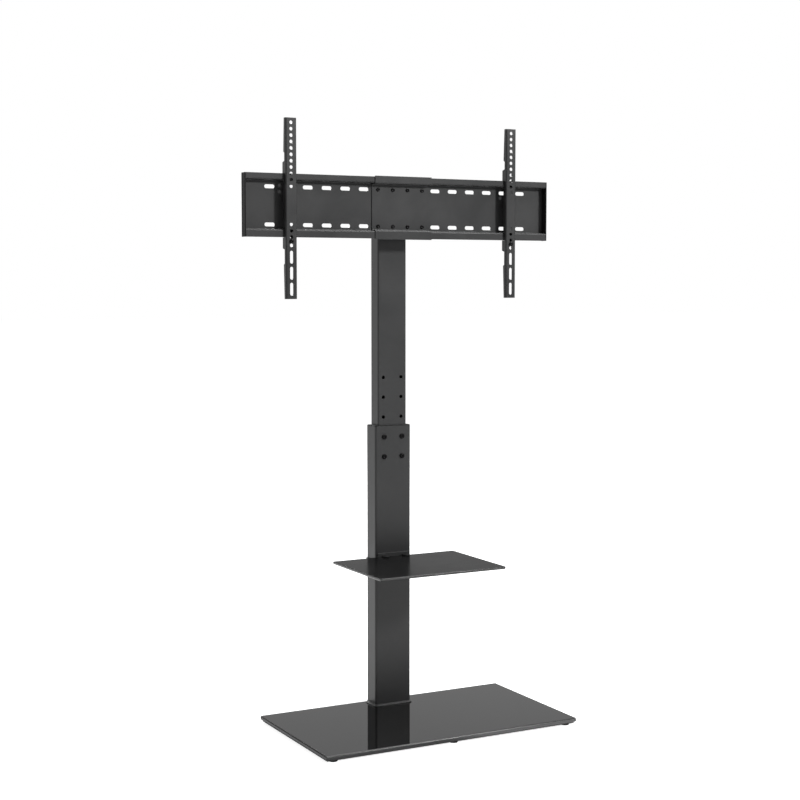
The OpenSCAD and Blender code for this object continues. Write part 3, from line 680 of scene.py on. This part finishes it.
def boltRings(kind, length):
    # a turned profile: shank, underside, domed head and a hexagonal socket
    head, rise, socket, shape = kind["head"], kind["rise"], kind["socket"], boltHead
    tall, floor = rise * shape["dome"], rise - kind["sink"]
    dome = roundOver((0, rise - tall), (tall * shape["domeWidth"], rise), shape["domeSteps"])
    rows = shankRows(kind["shank"], length)
    rows += [(head * shape["underside"], 0, 0), (head, rise * shape["rim"], 0)]
    rows += [(head - inset, height, 0) for inset, height in dome]
    rows += [(socket * shape["mouth"], rise, 0)]
    rows += [(socket * shape["throat"], rise - shape["lead"], 1)]
    rows += [(socket, rise - shape["step"], 1), (socket, floor, 1)]
    return turnedRings(rows + [(socket * shape["pit"], floor - shape["step"], 0)])


def nutRings(kind):
    # a hexagon whose corners are cut by a cone at either end, round an open bore
    apothem, bore, height = kind["apothem"], kind["bore"], kind["height"]
    rim, cut, turned = apothem * nutShape["rim"], height * nutShape["cut"], nutShape["turned"]
    flat = cut * nutShape["flat"]
    rows = [(bore, 0, 0), (rim, 0, 0), (apothem, cut, turned), (apothem, flat, 1)]
    rows += [(apothem, height - flat, 1), (apothem, height - cut, turned)]
    return turnedRings(rows + [(rim, height, 0), (bore, height, 0)])


def hexScrewRings(kind, length):
    # a plain shank under a hexagonal head with its corners turned off at the top
    apothem, rise, shape = kind["apothem"], kind["rise"], hexHead
    rim, sunk = apothem * shape["rim"], rise - shape["sink"]
    rows = shankRows(kind["shank"], length) + [(rim, 0, 0), (apothem, shape["step"], 1)]
    rows += [(apothem, rise * shape["flatTo"], 1)]
    rows += [(apothem, rise * shape["cutTo"], shape["turned"]), (rim, rise, 0)]
    return turnedRings(rows + [(apothem * shape[name], sunk, 0) for name in ("dish", "pit")])


def fasteners(name, node, body, stacks, closed=False):
    # every screw or nut of one node, as (rings, origin, direction)
    rings = [placed(*stack) for stack in stacks]
    makePiece(name, rings, body, [blackScrew], [node], closed=closed)


def fourCorners(box, axes, insets):
    # four pairs of coordinates along two axes, each an inset away from the sides of a box
    firsts, seconds = [
        (box[0][axis] + inset, box[1][axis] - inset) for axis, inset in zip(axes, insets)
    ]
    return [(first, second) for first in firsts for second in seconds]


def frontPlaces(box, kind):
    # the bearing points of four bolts whose heads look to the front and fill the box
    face = box[0][1] + kind["rise"]
    return [(x, face, z) for x, z in fourCorners(box, (0, 2), (kind["head"], kind["head"]))]


for name, node, body, kindName in (
    ("heightBolts", "height_bolts", "stand", "height"),
    ("bracketBolts", "bracket_bolts", "mast", "bracket"),
    ("clampBolts", "clamp_bolts", "shelf", "clamp"),
):
    box, kind = boxOf(node), boltKinds[kindName]
    places = frontPlaces(box, kind)
    rings = boltRings(kind, box[1][1] - places[0][1])
    fasteners(name, node, body, [(rings, place, "front") for place in places])

# The plate's outer bolts hold two sheets and the inner ones the yoke too: the depths run from head
# to nut, and past is the length from there to the bolt's end
plateStack = {"inner": 0.0205, "innerDepth": 0.008, "outerDepth": 0.004, "past": 0.006}
outer = frontPlaces(boxOf("plate_bolts"), boltKinds["plate"])
inner = [(math.copysign(plateStack["inner"], x), y, z) for x, y, z in outer]
nut, bolts, nuts = nutRings(nutKinds["plate"]), [], []
for places, deep in ((outer, plateStack["outerDepth"]), (inner, plateStack["innerDepth"])):
    rings = boltRings(boltKinds["plate"], deep + plateStack["past"])
    bolts += [(rings, place, "front") for place in places]
    nuts += [(nut, (x, y + deep, z), "back") for x, y, z in places]
fasteners("plateBolts", "plate_bolts", "head", bolts)
fasteners("plateNuts", "plate_nuts", "head", nuts, closed=True)

for name, node, body, kindName in (
    ("clampNuts", "clamp_nuts", "shelf", "clamp"),
    ("bracketNuts", "bracket_nuts", "mast", "bracket"),
):
    box, kind = boxOf(node), nutKinds[kindName]
    nut, corner = nutRings(kind), kind["corner"]
    places = fourCorners(box, (0, 2), (corner, corner * math.cos(math.pi / 6)))
    stacks = [(nut, (x, box[0][1], z), "back") for x, z in places]
    fasteners(name, node, body, stacks, closed=True)

kind = boltKinds["lock"]
for side in ("left", "right"):
    low, high = boxOf(side + "_lock_screw")
    face, middle = low[1] + kind["rise"], (low + high) / 2
    stack = (boltRings(kind, high[1] - face), (middle[0], face, middle[2]), "front")
    fasteners(side + "LockScrew", side + "_lock_screw", side + "_arm", [stack])

kind, box = boltKinds["foot"], boxOf("foot_screws")
face = box[0][2] + kind["rise"]
rings = boltRings(kind, box[1][2] - face)
places = fourCorners(box, (0, 1), (kind["head"], kind["head"]))
fasteners("footScrews", "foot_screws", "stand", [(rings, (x, y, face), "down") for x, y in places])

low, high = boxOf("shelf_screws")
face = low[2] + shelfScrew["rise"]
rings = hexScrewRings(shelfScrew, high[2] - face)
capLow, capHigh = boxOf("shelf_caps")  # the two screws stand below the caps
capRadius, capY = (capHigh[1] - capLow[1]) / 2, (capLow[1] + capHigh[1]) / 2
shelfPlaces = [(x, capY) for x in (capLow[0] + capRadius, capHigh[0] - capRadius)]
stacks = [(rings, (x, y, face), "down") for x, y in shelfPlaces]
fasteners("shelfScrews", "shelf_screws", "shelf", stacks)
print("screws, bolts and nuts made")

# Moulded, rubber and turned pieces
tinyCut, smallCut = 0.0002, 0.0003  # two sizes of the small cuts along edges


def turnedRows(radius, profile):
    # a small cut below, then each (inset, height) of the profile, measured in from the radius
    rows = [(radius - tinyCut, 0, 0), (radius, smallCut, 0)]
    return rows + [(radius - inset, height, 0) for inset, height in profile]


endCap = {
    "corner": 0.0012, "round": 0.0011, "panel": 0.0035, "panelSink": 0.0005, "panelSlope": 0.6,
    "upperTab": (0.012, 0.004), "lowerTab": (0.002, 0.0137),  # down from the top, up from the foot
    "tabCorner": 0.0008, "tabLeast": 0.00005, "tabRound": (0.0014, 0.0016),
    "tabBack": 0.0022, "tabDepth": 0.0095,
}


def makeEndCap(side, settings):
    # a wall over the plate's end, with round outer edges and a sunk panel, and a tab at each lip
    node = side + "_end_cap"
    low, high = boxOf(node)
    plateLow, plateHigh = boxOf(side + "_plate")
    if side == "right":
        plateEnd, outermost, innermost, back = plateHigh[0], high[0], low[0], "left"
    else:
        plateEnd, outermost, innermost, back = plateLow[0], low[0], high[0], "right"
    thick, reach = abs(outermost - plateEnd), abs(plateEnd - innermost)
    r, panel, sink = settings["round"], settings["panel"], settings["panelSink"]
    profile = [(smallCut, 0), (0, smallCut)] + roundOver((0, thick - r), (r, thick))
    profile += [(panel, thick), (panel + sink * settings["panelSlope"], thick - sink)]
    profile += [(panel + sink, thick - sink)]
    wall = rectRings(insetRows(high[1] - low[1], high[2] - low[2], settings["corner"], profile))
    middle = (low + high) / 2
    stacks = [placed(wall, (plateEnd, middle[1], middle[2]), side)]
    roundWide, roundTall = settings["tabRound"]
    tabProfile = [(0, 0)] + roundOver((0, reach - roundTall), (roundWide, reach))
    tabY = low[1] + settings["tabBack"] + settings["tabDepth"] / 2
    upper, lower = settings["upperTab"], settings["lowerTab"]
    for tabLow, tabHigh in (
        (high[2] - upper[0], high[2] - upper[1]), (low[2] + lower[0], low[2] + lower[1]),
    ):
        rows = insetRows(
            settings["tabDepth"], tabHigh - tabLow, settings["tabCorner"], tabProfile,
            settings["tabLeast"],
        )
        stacks.append(placed(rectRings(rows), (plateEnd, tabY, (tabLow + tabHigh) / 2), back))
    makePiece(side + "EndCap", stacks, "head", [mouldedBlack], [node])


makeEndCap("left", endCap)
makeEndCap("right", endCap)

columnCollar = {
    "round": 0.0009, "corner": 0.0044,
    "bore": (0.0806, 0.0406, 0.0043), "skirt": (0.0946, 0.0446, 0.0025),  # width, depth, corner
    "mouth": (0.0008, 0.0008, 0.0004), "mouthDepth": 0.0005,  # how the bore widens at its top
}


def makeCollar(settings):
    # one closed section carried round the tube: skirt, lip with a round edge, and the mast's bore
    low, high = boxOf("column_collar")
    top = boxOf("lower_column")[1][2]
    r, lip, foot = settings["round"], high[2] - top, low[2] - top
    profile = [(smallCut, 0)] + roundOver((0, lip - r), (r, lip))
    outer = insetRows(high[0] - low[0], high[1] - low[1], settings["corner"], profile)
    skirt, bore = settings["skirt"], settings["bore"]
    mouth = [size + more for size, more in zip(bore, settings["mouth"])]
    rows = [(*skirt, foot), (*skirt, 0)] + outer.tolist()
    rows += [(*mouth, lip), (*bore, lip - settings["mouthDepth"]), (*bore, foot)]
    rings = placed(rectRings(rows), middleAt(low, high, top))
    makePiece(
        "columnCollar", [rings], "stand", [mouldedBlack], ["column_collar"],
        closed=True,
    )


makeCollar(columnCollar)

mastCap = {
    "corner": 0.004, "round": 0.0018, "plate": 0.004, "plug": (0.0756, 0.0356, 0.002),
    "crown": 0.0012, "crownRows": ((0.006, 0.45), (0.012, 0.1), (0.017, 0)),  # inset, share down
}


def makeMastCap(settings):
    # a plug below a plate whose edge is round and whose top is slightly crowned
    low, high = boxOf("mast_cap")
    plate, r, crown = settings["plate"], settings["round"], settings["crown"]
    base, rim = high[2] - plate, plate - crown
    profile = [(tinyCut, 0)] + roundOver((0, rim - r), (r, rim))
    profile += [(inset, plate - crown * share) for inset, share in settings["crownRows"]]
    top = insetRows(high[0] - low[0], high[1] - low[1], settings["corner"], profile)
    rows = [(*settings["plug"], low[2] - base), (*settings["plug"], 0)] + top.tolist()
    rings = placed(rectRings(rows), middleAt(low, high, base))
    makePiece("mastCap", [rings], "mast", [mouldedBlack], ["mast_cap"])


makeMastCap(mastCap)

footPad = {
    "radius": 0.011, "draft": 0.0005, "round": 0.0008,
    "groove": (0.0068, 0.0054), "grooveSlope": 0.0002, "sink": 0.0007, "middle": 0.002,
}


def makeFeet(settings):
    # six turned pads with a slight draft, a round rim and a ring groove below
    low, high = boxOf("rubber_feet")
    tall, radius, r = high[2] - low[2], settings["radius"], settings["round"]
    draft, sunk = settings["draft"], tall - settings["sink"]
    (out, into), slope = settings["groove"], settings["grooveSlope"]
    rows = turnedRows(radius, roundOver((draft, tall - r), (draft + r, tall)))
    rows += [(out, tall, 0), (out - slope, sunk, 0), (into + slope, sunk, 0), (into, tall, 0)]
    pad = turnedRings(rows + [(settings["middle"], tall, 0)])
    xs = (low[0] + radius, (low[0] + high[0]) / 2, high[0] - radius)
    ys = (low[1] + radius, high[1] - radius)
    pads = [placed(pad, (x, y, high[2]), "down") for x in xs for y in ys]
    makePiece("rubberFeet", pads, "stand", [blackRubber], ["rubber_feet"])


makeFeet(footPad)

shelfCap = {"round": 0.0016, "dish": 0.0045, "dishSlope": 0.0012, "sink": 0.0004, "middle": 0.001}


def makeShelfCaps(settings):
    # two turned caps with a round rim and a shallow dish on top
    tall, r, dish = capHigh[2] - capLow[2], settings["round"], settings["dish"]
    sunk = tall - settings["sink"]
    rows = turnedRows(capRadius, roundOver((0, tall - r), (r, tall)))
    rows += [(dish, tall, 0), (dish - settings["dishSlope"], sunk, 0)]
    cap = turnedRings(rows + [(settings["middle"], sunk, 0)])
    caps = [placed(cap, (x, y, capLow[2])) for x, y in shelfPlaces]
    makePiece("shelfCaps", caps, "shelf", [mouldedBlack], ["shelf_caps"])


makeShelfCaps(shelfCap)

shelfPad = {"round": 0.0006, "corner": 0.002}


def makeShelfPads(settings):
    # two rubber strips with round upper and lower edges, one on each prong
    low, high = boxOf("shelf_pads")
    width = 2 * ((high[0] - low[0]) / 2 - abs(shelfPlaces[0][0]))
    thick, r = high[2] - low[2], settings["round"]
    profile = [(r, 0)] + [(r - inset, height) for inset, height in roundOver((0, 0), (r, r))]
    profile += roundOver((0, thick - r), (r, thick))
    strip = rectRings(insetRows(width, high[1] - low[1], settings["corner"], profile))
    strips = [placed(strip, (x, (low[1] + high[1]) / 2, low[2])) for x, y in shelfPlaces]
    makePiece("shelfPads", strips, "shelf", [blackRubber], ["shelf_pads"])


makeShelfPads(shelfPad)

swivelPin = {"shank": 0.006, "head": 0.009, "rise": 0.004, "round": 0.0016}


def makeSwivelPin(settings):
    # a turned pin with a rounded head at either end
    low, high = boxOf("swivel_pin")
    tall, rise, r = high[2] - low[2], settings["rise"], settings["round"]
    wide, shank = settings["head"], settings["shank"]
    head = [(wide - inset, height) for inset, height in roundOver((0, rise - r), (r, rise))]
    rows = [(radius, rise - height, 0) for radius, height in head[::-1]]
    rows += [(wide - tinyCut, rise, 0), (shank, rise, 0)]
    rows += [(shank, tall - rise, 0), (wide - tinyCut, tall - rise, 0)]
    rows += [(radius, tall - rise + height, 0) for radius, height in head]
    pin = placed(turnedRings(rows), middleAt(low, high, low[2]))
    makePiece("swivelPin", [pin], "mast", [blackScrew], ["swivel_pin"])


makeSwivelPin(swivelPin)

footFlange = {
    "corner": 0.007, "round": 0.0018, "roundSteps": 8, "plate": 0.003,
    "plug": (0.0946, 0.0446, 0.0025),
}


def makeFlange(settings):
    # a plate with a round upper edge round the column's foot, and the plug inside the column
    low, high = boxOf("foot_flange")
    thick, r, plug = settings["plate"], settings["round"], settings["plug"]
    profile = [(smallCut, 0), (0, smallCut)]
    profile += roundOver((0, thick - r), (r, thick), settings["roundSteps"])
    plateRows = insetRows(high[0] - low[0], high[1] - low[1], settings["corner"], profile)
    plugRows = [(*plug, thick), (*plug, high[2] - low[2])]
    origin = middleAt(low, high, low[2])
    stacks = [placed(rectRings(rows), origin) for rows in (plateRows, plugRows)]
    makePiece("footFlange", stacks, "stand", [powderCoat], ["foot_flange"])


makeFlange(footFlange)
print("moulded, rubber and turned pieces made")

# Weld beads
weldBead = {"size": 0.0016, "ripple": 0.16, "pitch": 0.0021, "tip": 0.35}
footBead = {"size": 0.0021, "ripple": 0.12, "pitch": 0.0026, "wider": 0.0004, "corner": 0.0052}
earWelds = {"half": 0.009, "sheet": 0.004, "bracketRise": 0.034, "yokeRise": 0.0247}
ribWelds = {"root": 0.004, "end": 0.033, "beside": 0.0025, "behind": 0.003}


def weldSeams(name, body, seams, bead=weldBead, closed=False):
    # each seam is (points of its root, direction that it swells towards)
    stacks = [beadRings(points, up, bead, closed) for points, up in seams]
    makePiece(name, stacks, body, [coatedWeld], closed=closed)


low, high = boxOf("lower_column")
wide, deep = high[0] - low[0] + footBead["wider"], high[1] - low[1] + footBead["wider"]
root = placed(rectRings([(wide, deep, footBead["corner"], low[2])])[0], middleAt(low, high, 0))
weldSeams("columnFootWeld", "stand", [(root, (0, 0, 1))], footBead, closed=True)

# One bead above and one below the swivel's middle, outside the bracket's ears, inside the yoke's
bracketLow, bracketHigh = boxOf("swivel_bracket")
earMiddle, half = (bracketLow[2] + bracketHigh[2]) / 2, earWelds["half"]
bracketFace = bracketHigh[1] - earWelds["sheet"]
yokeFace = boxOf("swivel_yoke")[0][1] + earWelds["sheet"]
for name, body, face, rise, swell in (
    ("bracketEarWelds", "mast", bracketFace, earWelds["bracketRise"], 1),
    ("yokeEarWelds", "head", yokeFace, earWelds["yokeRise"], -1),
):
    weldSeams(name, body, [
        ([(x, face, earMiddle + side * rise) for x in (-half, half)], (0, 0, side * swell))
        for side in (1, -1)
    ])

padLow, padHigh = boxOf("shelf_pads")
ribX, ribY = padHigh[0] + ribWelds["beside"], boxOf("shelf_bracket")[1][1] - ribWelds["behind"]
ribEnds = (padLow[2] - ribWelds["root"], padLow[2] - ribWelds["end"])
weldSeams("shelfRibWelds", "shelf", [
    ([(side * ribX, ribY, z) for z in ribEnds], (side, 0, 0)) for side in (-1, 1)
])
print("weld beads made")

# Lights, floor and background
lampSettings = {
    "key": {"power": 218.0, "place": (3.0, -4.75, 3.5), "aim": (0.0, 0.0, 0.8), "size": 0.7},
    "top": {"power": 50.0, "place": (0.8, -0.6, 3.4), "aim": (0.0, 0.0, 0.2), "size": 1.6},
    "side": {"power": 20.0, "place": (-3.4, 1.6, 2.6), "aim": (0.0, 0.0, 0.8), "size": 1.4},
    "back": {"power": 150.0, "place": (0.9, 4.6, 3.2), "aim": (0.0, 0.0, 0.8), "size": 1.6},
}
roomSettings = {
    "ambient": 0.24, "backGloss": 0.75, "frontGloss": 0.42,
    "worldTurn": (0.3, -0.7), "floorTurn": (0.4, -1.2),  # Y from back to front
    "floorReach": 40.0, "floorColour": 0.8, "floorLift": 0.82,
    # the near settings paint a reflection into the base's front edge, dark at the left and bright
    # at the right
    "nearReach": 0.08, "nearFront": -0.19,  # longest near ray, Y of the stand's front
    "nearTurn": (-0.03, 0.12), "nearGlow": 1.0,  # X from dark to bright
}


def seenRays(tree, source, turn, settings):
    # how white the background shows: one for the camera and clear bodies, and for a gloss a level
    # that goes from the back's to the front's with the Y of a direction or place
    path = addNode(tree, "ShaderNodeLightPath")
    parts = addNode(tree, "ShaderNodeSeparateXYZ")
    front = rangeNode(tree, turn, interpolation_type="SMOOTHSTEP")
    mirrored = rangeNode(tree, target=(settings["backGloss"], settings["frontGloss"]))
    gloss = mathNode(tree, "MULTIPLY")
    first = mathNode(tree, "MAXIMUM")
    second = mathNode(tree, "MAXIMUM")
    wire(
        tree,
        (source, parts.inputs[0]),
        (parts.outputs["Y"], front.inputs["Value"]),
        (front.outputs["Result"], mirrored.inputs["Value"]),
        (mirrored.outputs["Result"], gloss.inputs[0]),
        (path.outputs["Is Glossy Ray"], gloss.inputs[1]),
        (path.outputs["Is Camera Ray"], first.inputs[0]),
        (gloss.outputs["Value"], first.inputs[1]),
        (first.outputs["Value"], second.inputs[0]),
        (path.outputs["Is Transmission Ray"], second.inputs[1]),
    )
    return second.outputs["Value"]


def makeWorld(settings):
    # white where it is seen, and a plain ambient level where it only lights
    world = bpy.data.worlds.new("paleStudio")
    bpy.context.scene.world = world
    tree = emptyTree(world)
    output = addNode(tree, "ShaderNodeOutputWorld")
    direction = addNode(tree, "ShaderNodeTexCoord").outputs["Generated"]
    lit = mathNode(tree, "MAXIMUM")
    lit.inputs[1].default_value = settings["ambient"]
    light = setInputs(addNode(tree, "ShaderNodeBackground"), {"Color": (1, 1, 1, 1)})
    wire(
        tree,
        (seenRays(tree, direction, settings["worldTurn"], settings), lit.inputs[0]),
        (lit.outputs["Value"], light.inputs["Strength"]),
        (light.outputs[0], output.inputs["Surface"]),
    )


def paintedEdgeReflection(tree, position, far, settings):
    # the floor's glow is the level given, but a glossy ray shorter than the near reach finds none,
    # or before the stand's front a level that grows from none at the left to its full at the right
    # this is a painted reflection: the base's front edge shows the floor dark at its left and
    # bright at its right
    path = addNode(tree, "ShaderNodeLightPath")
    parts = addNode(tree, "ShaderNodeSeparateXYZ")
    close = mathNode(tree, "LESS_THAN")
    close.inputs[1].default_value = settings["nearReach"]
    held = mathNode(tree, "MULTIPLY")
    front = mathNode(tree, "LESS_THAN")
    front.inputs[1].default_value = settings["nearFront"]
    glow = (0, settings["nearGlow"])
    bright = rangeNode(tree, settings["nearTurn"], glow, interpolation_type="SMOOTHSTEP")
    near = mathNode(tree, "MULTIPLY")
    level = addNode(tree, "ShaderNodeMix")
    wire(
        tree,
        (path.outputs["Ray Length"], close.inputs[0]),
        (close.outputs["Value"], held.inputs[0]),
        (path.outputs["Is Glossy Ray"], held.inputs[1]),
        (position, parts.inputs[0]),
        (parts.outputs["Y"], front.inputs[0]),
        (parts.outputs["X"], bright.inputs["Value"]),
        (front.outputs["Value"], near.inputs[0]),
        (bright.outputs["Result"], near.inputs[1]),
        (held.outputs["Value"], level.inputs["Factor"]),
        (far, level.inputs["A"]),
        (near.outputs["Value"], level.inputs["B"]),
    )
    return level.outputs["Result"]


def makeFloor(settings):
    # one wide flat face; its own glow for seen rays lifts it to white and leaves the shadow
    reach, tone = settings["floorReach"], settings["floorColour"]
    mesh = bpy.data.meshes.new("paleFloor")
    corners = [(-reach, -reach, 0), (reach, -reach, 0), (reach, reach, 0), (-reach, reach, 0)]
    mesh.from_pydata(corners, [], [(0, 1, 2, 3)])
    floor = bpy.data.objects.new("paleFloor", mesh)
    bpy.context.scene.collection.objects.link(floor)
    material = bpy.data.materials.new("paleFloor")
    tree = emptyTree(material)
    output = addNode(tree, "ShaderNodeOutputMaterial")
    diffuse = setInputs(addNode(tree, "ShaderNodeBsdfDiffuse"), {"Color": (tone, tone, tone, 1)})
    glow = setInputs(addNode(tree, "ShaderNodeEmission"), {"Color": (1, 1, 1, 1)})
    position = addNode(tree, "ShaderNodeNewGeometry").outputs["Position"]
    lift = mathNode(tree, "MULTIPLY")
    lift.inputs[1].default_value = settings["floorLift"]
    total = addNode(tree, "ShaderNodeAddShader")
    wire(
        # the floor's glow also carries the painted reflection for the base's front edge
        tree,
        (seenRays(tree, position, settings["floorTurn"], settings), lift.inputs[0]),
        (paintedEdgeReflection(tree, position, lift.outputs["Value"], settings), glow.inputs["Strength"]),
        (diffuse.outputs[0], total.inputs[0]),
        (glow.outputs[0], total.inputs[1]),
        (total.outputs[0], output.inputs["Surface"]),
    )
    mesh.materials.append(material)


def softBox(name, settings):
    # a square area lamp that looks from its place to what it aims at
    data = bpy.data.lights.new(name, "AREA")
    data.shape = "SQUARE"
    data.size = settings["size"]
    data.energy = settings["power"]
    lamp = bpy.data.objects.new(name, data)
    lamp.location = settings["place"]
    gaze = Vector(settings["aim"]) - Vector(settings["place"])
    lamp.rotation_euler = gaze.to_track_quat("-Z", "Y").to_euler()
    bpy.context.scene.collection.objects.link(lamp)


makeWorld(roomSettings)
makeFloor(roomSettings)
for name, settings in lampSettings.items():
    softBox(name + "Box", settings)
print("lights, floor and background set")
